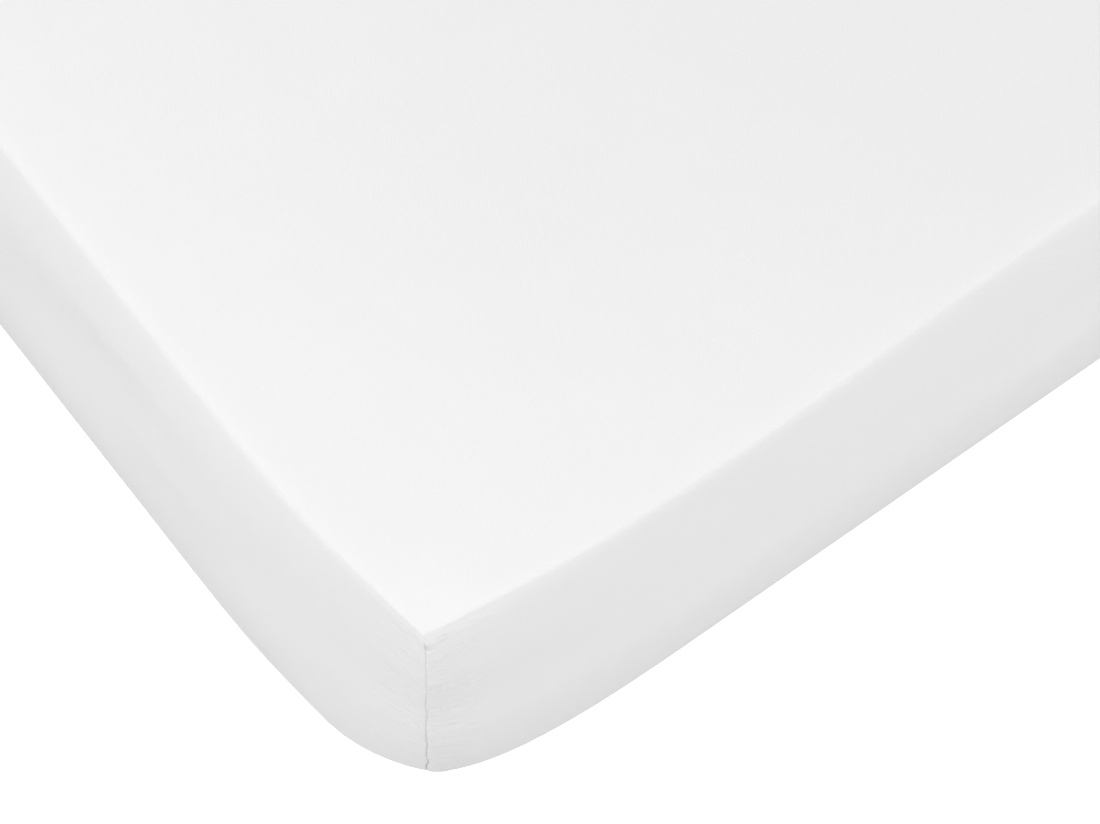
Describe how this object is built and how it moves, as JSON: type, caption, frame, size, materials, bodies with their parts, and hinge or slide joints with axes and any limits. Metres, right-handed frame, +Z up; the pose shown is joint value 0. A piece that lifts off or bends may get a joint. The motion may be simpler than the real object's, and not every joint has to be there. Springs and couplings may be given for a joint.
{
  "type": "fitted mattress protector on a single mattress",
  "caption": "Fitted cloth protector stretched over a plain single mattress, with skirts, a seam down each corner and an elastic hem drawn in underneath.",
  "frame": {"origin": "on the floor, under the middle of the mattress", "axes": "+X along the bed, +Y across it, +Z up out of the sleeping face"},
  "size_m": [2, 0.9, 0.2],
  "materials": {
    "protector": "smooth matt white knitted polyester",
    "mattress": "plain off-white woven ticking"
  },
  "bodies": {
    "root": {"protector": "protector", "mattress": "mattress"}
  },
  "joints": []
}
